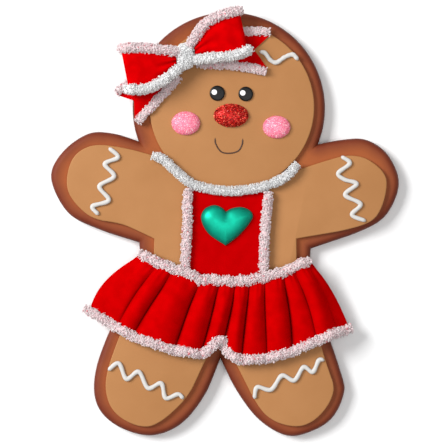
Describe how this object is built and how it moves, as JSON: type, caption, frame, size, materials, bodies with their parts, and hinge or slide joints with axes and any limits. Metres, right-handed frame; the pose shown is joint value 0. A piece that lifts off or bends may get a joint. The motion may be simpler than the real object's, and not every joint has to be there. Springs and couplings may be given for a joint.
{
  "type": "gingerbread girl foam decoration",
  "caption": "Flat foam gingerbread girl holiday decoration with a ribbon bow, bib, padded heart and gathered skirt, lying on its back.",
  "frame": {"origin": "centre of the flat back, at the middle of the bounding box", "axes": "+Z out of the face, +Y towards the head, +X to the right as the face is looked at"},
  "size_m": [0.454, 0.5581, 0.0545],
  "materials": {
    "brown_foam": "matte foam, airbrushed darker at the edge",
    "tan_foam": "matte smooth foam sheet",
    "black_foam": "satin foam",
    "white_paint": "matte paint",
    "brown_line": "matte line",
    "red_glitter": "coarse glitter",
    "pink_glitter": "fine glitter",
    "icing": "puffy matte paint",
    "red_velvet": "short pile velvet",
    "white_chenille": "fluffy pile",
    "pink_chenille": "curly pile with red flecks",
    "green_satin": "metallic satin"
  },
  "bodies": {
    "root": {"backing": "brown_foam", "body_panel": "tan_foam", "face_panel": "tan_foam", "eye_left": "black_foam", "eye_right": "black_foam", "eye_glint_left": "white_paint", "eye_glint_right": "white_paint", "mouth": "brown_line", "nose": "red_glitter", "cheek_left": "pink_glitter", "cheek_right": "pink_glitter", "icing_forehead": "icing", "icing_arm_left": "icing", "icing_arm_right": "icing", "icing_leg_left": "icing", "icing_leg_right": "icing", "bib": "red_velvet", "skirt": "red_velvet", "bow_loop_left": "red_velvet", "bow_loop_right": "red_velvet", "bow_tail_left": "red_velvet", "bow_tail_right": "red_velvet", "collar": "white_chenille", "bow_knot": "white_chenille", "bow_loop_left_upper_trim": "white_chenille", "bow_loop_left_lower_trim": "white_chenille", "bow_loop_right_upper_trim": "white_chenille", "bow_loop_right_lower_trim": "white_chenille", "bib_trim_left": "pink_chenille", "bib_trim_right": "pink_chenille", "skirt_waistband": "pink_chenille", "skirt_hem": "pink_chenille", "bow_tail_left_upper_trim": "pink_chenille", "bow_tail_left_lower_trim": "pink_chenille", "bow_tail_right_upper_trim": "pink_chenille", "bow_tail_right_lower_trim": "pink_chenille", "heart": "green_satin"}
  },
  "joints": []
}
